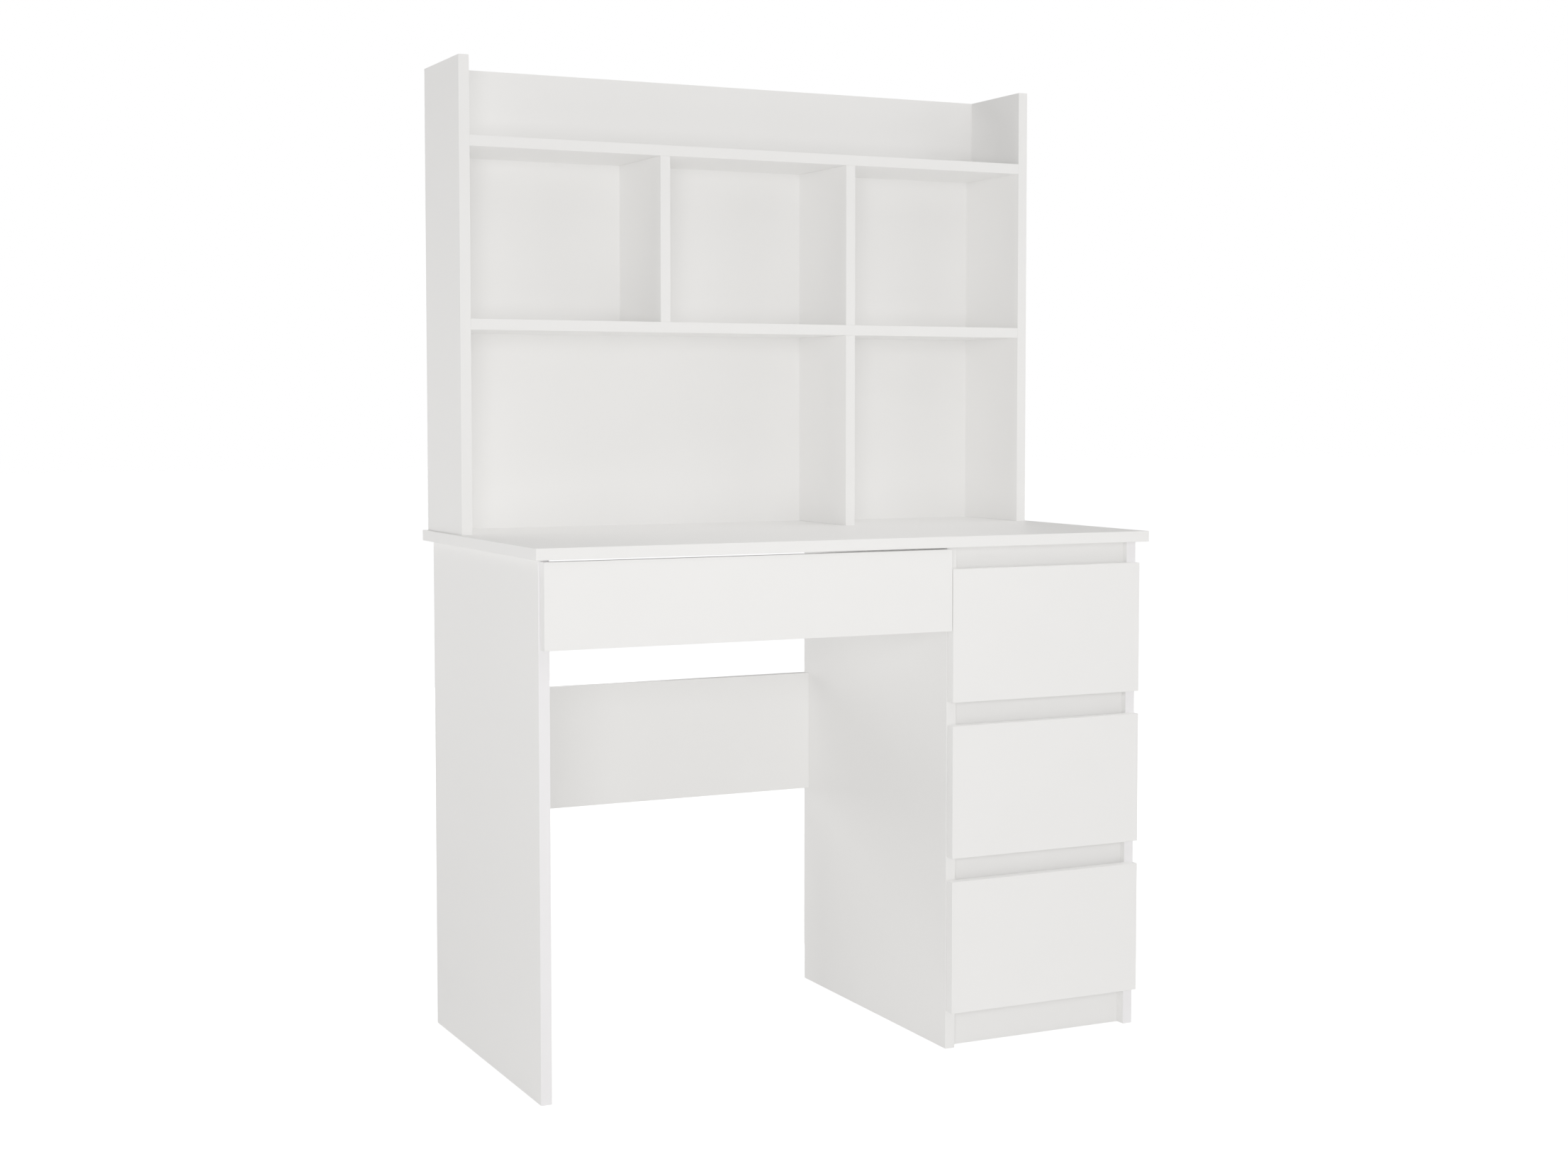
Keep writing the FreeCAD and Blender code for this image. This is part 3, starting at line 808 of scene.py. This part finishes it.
class DESK_OT_studio(bpy.types.Operator):
    """Set the floor, the soft light and the camera"""

    bl_idname = "desk.studio"
    bl_label = "Studio"

    def execute(self, context):
        settings = context.scene.desk_studio
        self.lay_floor(settings)
        self.set_surroundings(context.scene, settings)
        for name, (place, aim, size) in SOFTBOXES.items():
            softbox = self.hang_softbox(f"{name}_softbox", Vector(place), Vector(aim), size)
            softbox.energy = getattr(settings, f"{name}_power")
            softbox.color = settings.light_colour
        self.stand_camera(context.scene, settings)
        context.scene.view_settings.view_transform = "Standard"
        context.scene.view_settings.gamma = settings.tone_lift
        return {"FINISHED"}

    def lay_floor(self, settings):
        """Lay a pale sheet under the desk that looks white further away."""
        shape = bmesh.new()
        bmesh.ops.create_grid(shape, x_segments=FLOOR_CELLS, y_segments=FLOOR_CELLS, size=FLOOR_HALF_WIDTH)
        mesh = bpy.data.meshes.new("floor_sheet")
        shape.to_mesh(mesh)
        shape.free()
        finish, tree, shader, place = new_finish(
            "floor_paper", settings.floor_colour, darkest=0.995, mottle=0.6, roughness=0.8, swing=0.03)
        shader.inputs["Emission Color"].default_value = WHITE
        away = add_node(tree, "ShaderNodeVectorMath", {0: place}, operation="LENGTH")
        glow = add_node(tree, "ShaderNodeMapRange", {
            "Value": away.outputs["Value"], "From Min": GLOW_NEAR, "From Max": GLOW_FAR,
            "To Min": settings.floor_glow, "To Max": 1.0})
        path = add_node(tree, "ShaderNodeLightPath")
        seen = add_node(tree, "ShaderNodeMath", {
            0: path.outputs["Is Camera Ray"], 1: glow.outputs["Result"]}, operation="MULTIPLY")
        tree.links.new(seen.outputs["Value"], shader.inputs["Emission Strength"])
        mesh.materials.append(finish)
        floor = bpy.data.objects.new("floor_sheet", mesh)
        floor.location.z = -FLOOR_DROP
        bpy.context.collection.objects.link(floor)

    def set_surroundings(self, scene, settings):
        """Make the surroundings white to the eye, and dimmer as a source of light."""
        world = bpy.data.worlds.new("studio_air")
        world.use_nodes = True
        tree = world.node_tree
        tree.nodes.clear()
        glow = add_node(tree, "ShaderNodeBackground", {"Color": WHITE, "Strength": settings.ambient})
        seen = add_node(tree, "ShaderNodeBackground", {"Color": WHITE, "Strength": 1.0})
        path = add_node(tree, "ShaderNodeLightPath")
        mix = add_node(tree, "ShaderNodeMixShader", {
            0: path.outputs["Is Camera Ray"], 1: glow.outputs[0], 2: seen.outputs[0]})
        add_node(tree, "ShaderNodeOutputWorld", {"Surface": mix.outputs[0]})
        scene.world = world

    def hang_softbox(self, name, place, aim, size):
        """Hang a square light that the camera doesn't see."""
        lamp = bpy.data.lights.new(name, "AREA")
        lamp.shape = "SQUARE"
        lamp.size = size
        softbox = bpy.data.objects.new(name, lamp)
        softbox.location = place
        softbox.rotation_euler = (aim - place).to_track_quat("-Z", "Y").to_euler()
        softbox.visible_camera = False
        bpy.context.collection.objects.link(softbox)
        return lamp

    def stand_camera(self, scene, settings):
        """Stand the camera before the desk on its left, a little higher than the desktop."""
        lens = bpy.data.cameras.new("product_camera")
        lens.sensor_width = SENSOR_WIDTH
        lens.lens = settings.lens
        lens.shift_y = settings.lens_shift
        camera = bpy.data.objects.new("product_camera", lens)
        camera.location = settings.camera_place
        camera.rotation_euler = (math.pi / 2 + settings.camera_tilt, 0.0, -settings.camera_heading)
        bpy.context.collection.objects.link(camera)
        scene.camera = camera


class DESK_PT_sidebar(bpy.types.Panel):
    """Lists the desk's settings and the steps that build it"""

    bl_idname = "DESK_PT_sidebar"
    bl_label = "Student Desk"
    bl_space_type = "VIEW_3D"
    bl_region_type = "UI"
    bl_category = "Desk"

    def draw(self, context):
        for group in GROUPS:
            settings = getattr(context.scene, group)
            box = self.layout.box()
            for name in settings.__annotations__:
                box.prop(settings, name)
        for operator in OPERATORS:
            self.layout.operator(operator.bl_idname)


GROUPS = {"desk_finishes": DeskFinishes, "desk_fittings": DeskFittings, "desk_studio": DeskStudio}
OPERATORS = (DESK_OT_laminated_boards, DESK_OT_drawer_bases, DESK_OT_thin_backs, DESK_OT_runners,
             DESK_OT_cam_fittings, DESK_OT_cover_caps, DESK_OT_screws, DESK_OT_studio)
CLASSES = (*GROUPS.values(), *OPERATORS, DESK_PT_sidebar)


def register():
    """Register the classes and hang the settings on the scene."""
    for kind in CLASSES:
        bpy.utils.register_class(kind)
    for name, group in GROUPS.items():
        setattr(bpy.types.Scene, name, PointerProperty(type=group))


def unregister():
    """Take the settings off the scene and unregister the classes."""
    for name in GROUPS:
        delattr(bpy.types.Scene, name)
    for kind in reversed(CLASSES):
        bpy.utils.unregister_class(kind)


def main():
    """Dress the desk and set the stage."""
    register()
    bpy.ops.desk.laminated_boards()
    bpy.ops.desk.drawer_bases()
    bpy.ops.desk.thin_backs()
    bpy.ops.desk.runners()
    bpy.ops.desk.cam_fittings()
    bpy.ops.desk.cover_caps()
    bpy.ops.desk.screws()
    bpy.ops.desk.studio()


if __name__ == "__main__":
    main()
